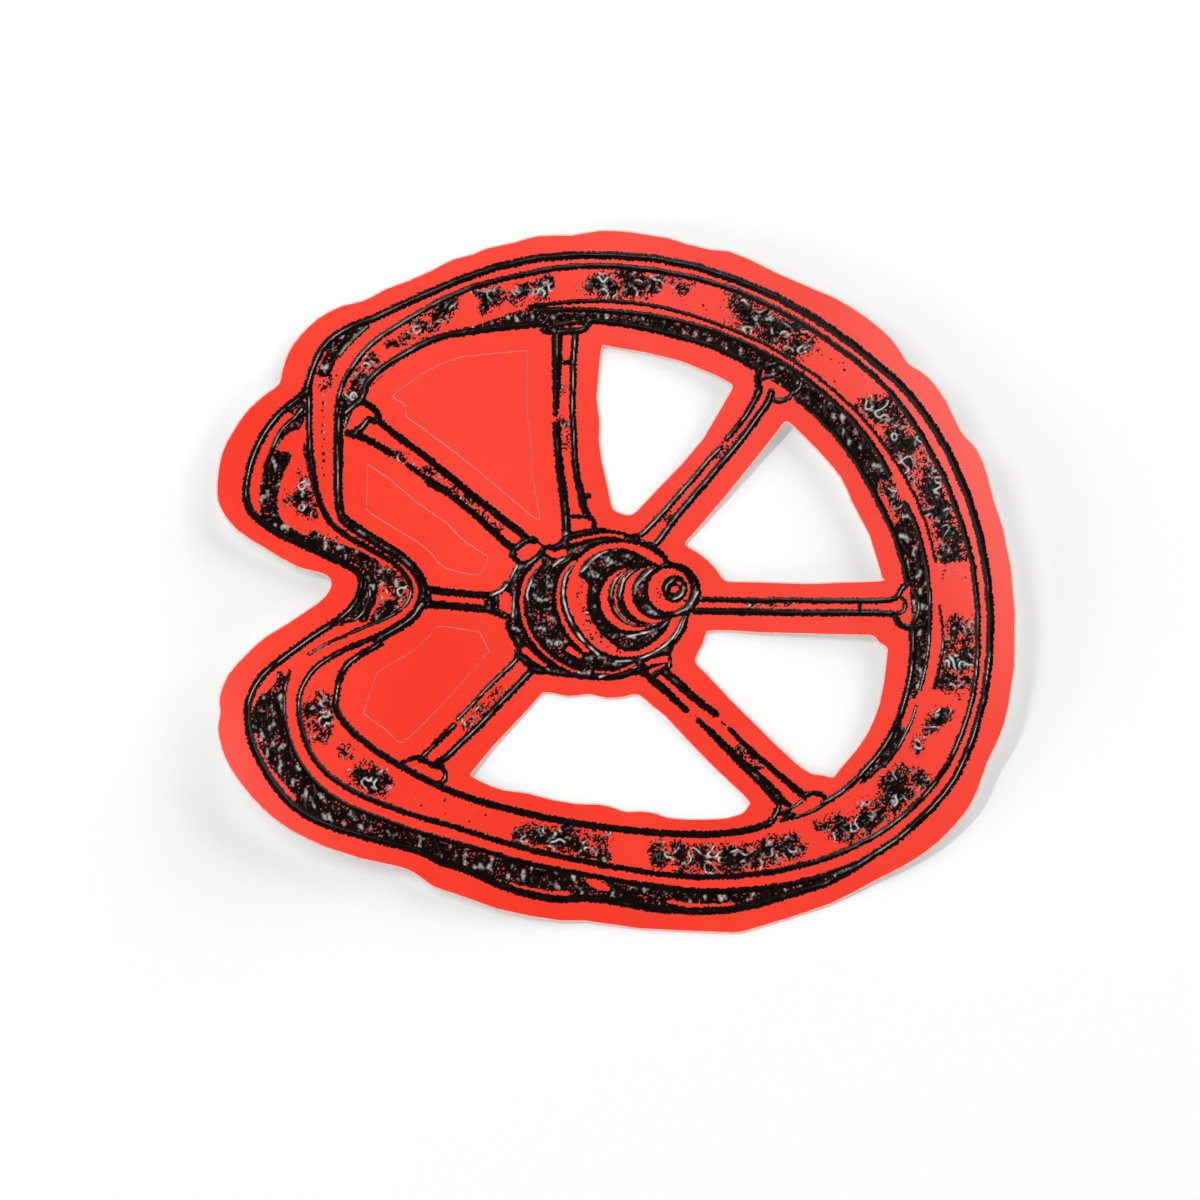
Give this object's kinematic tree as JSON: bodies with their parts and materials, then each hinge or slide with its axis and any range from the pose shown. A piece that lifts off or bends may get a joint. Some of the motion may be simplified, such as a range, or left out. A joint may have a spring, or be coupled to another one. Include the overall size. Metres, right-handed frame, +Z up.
{
  "type": "die-cut sticker",
  "caption": "Curling red die-cut vinyl sticker with open windows, kiss-cut islands and a raised black ink drawing of a bent spoked wheel.",
  "frame": {"origin": "centre of the sheet's bounding box, on the table it lies on", "axes": "+X to the drawing's right, +Y to its top, +Z up out of the printed face"},
  "size_m": [0.1, 0.088, 0.0092],
  "materials": {
    "red_vinyl": "satin gloss, solid red",
    "liner_paper": "white coated paper, silicone faced on the side that meets the film",
    "black_ink": "glossy raised black ink"
  },
  "bodies": {
    "root": {"release_liner": "liner_paper", "vinyl_film": "red_vinyl", "cut_island_top_left": "red_vinyl", "cut_island_mid_left": "red_vinyl", "cut_island_low_left": "red_vinyl", "ink_rim_lines": "black_ink", "ink_rim_shade": "black_ink", "ink_grime": "black_ink", "ink_spokes": "black_ink", "ink_hub": "black_ink"}
  },
  "joints": []
}
